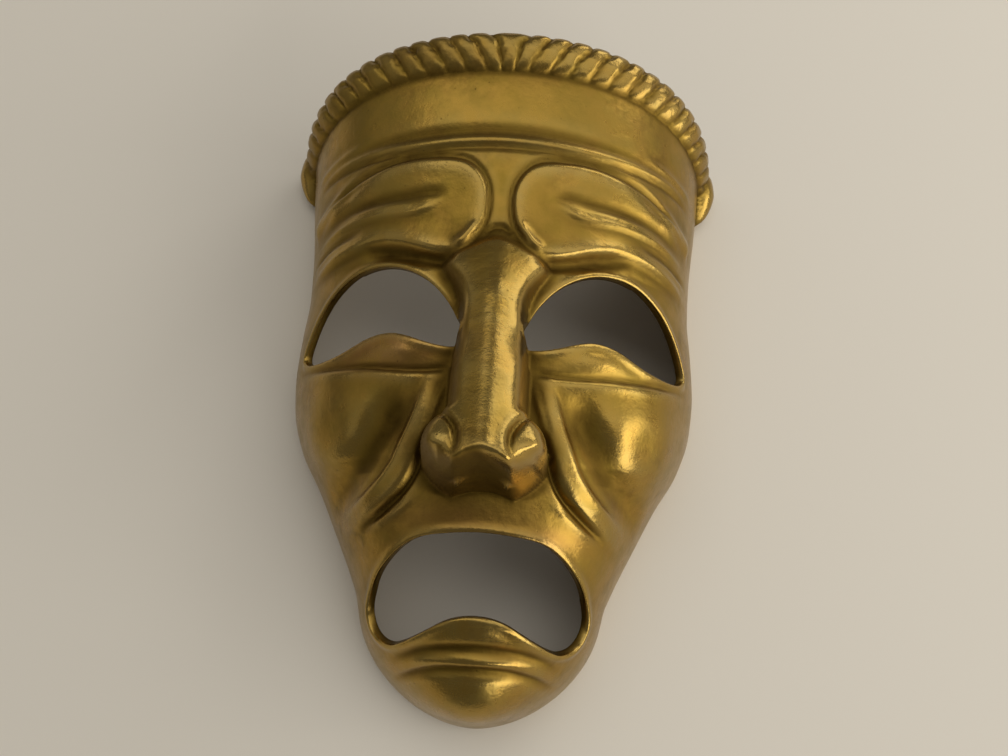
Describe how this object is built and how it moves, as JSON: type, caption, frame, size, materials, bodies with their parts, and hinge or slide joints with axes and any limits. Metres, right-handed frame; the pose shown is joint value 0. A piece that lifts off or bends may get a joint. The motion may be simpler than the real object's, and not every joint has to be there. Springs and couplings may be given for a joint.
{
  "type": "theatre mask",
  "caption": "Hollow cast theatre mask of a sorrowful face with open eyes and mouth and a rope border round its top; lies face up on its back rim.",
  "frame": {"origin": "middle of the bounding box, in the plane of the back rim", "axes": "+X to the viewer's right, +Y up the face to the forehead, +Z out of the face"},
  "size_m": [0.1428, 0.1936, 0.0749],
  "materials": {
    "brass": "satin cast brass, darker in the recesses, worn bright on the high edges"
  },
  "bodies": {
    "root": {"mask": "brass"}
  },
  "joints": []
}
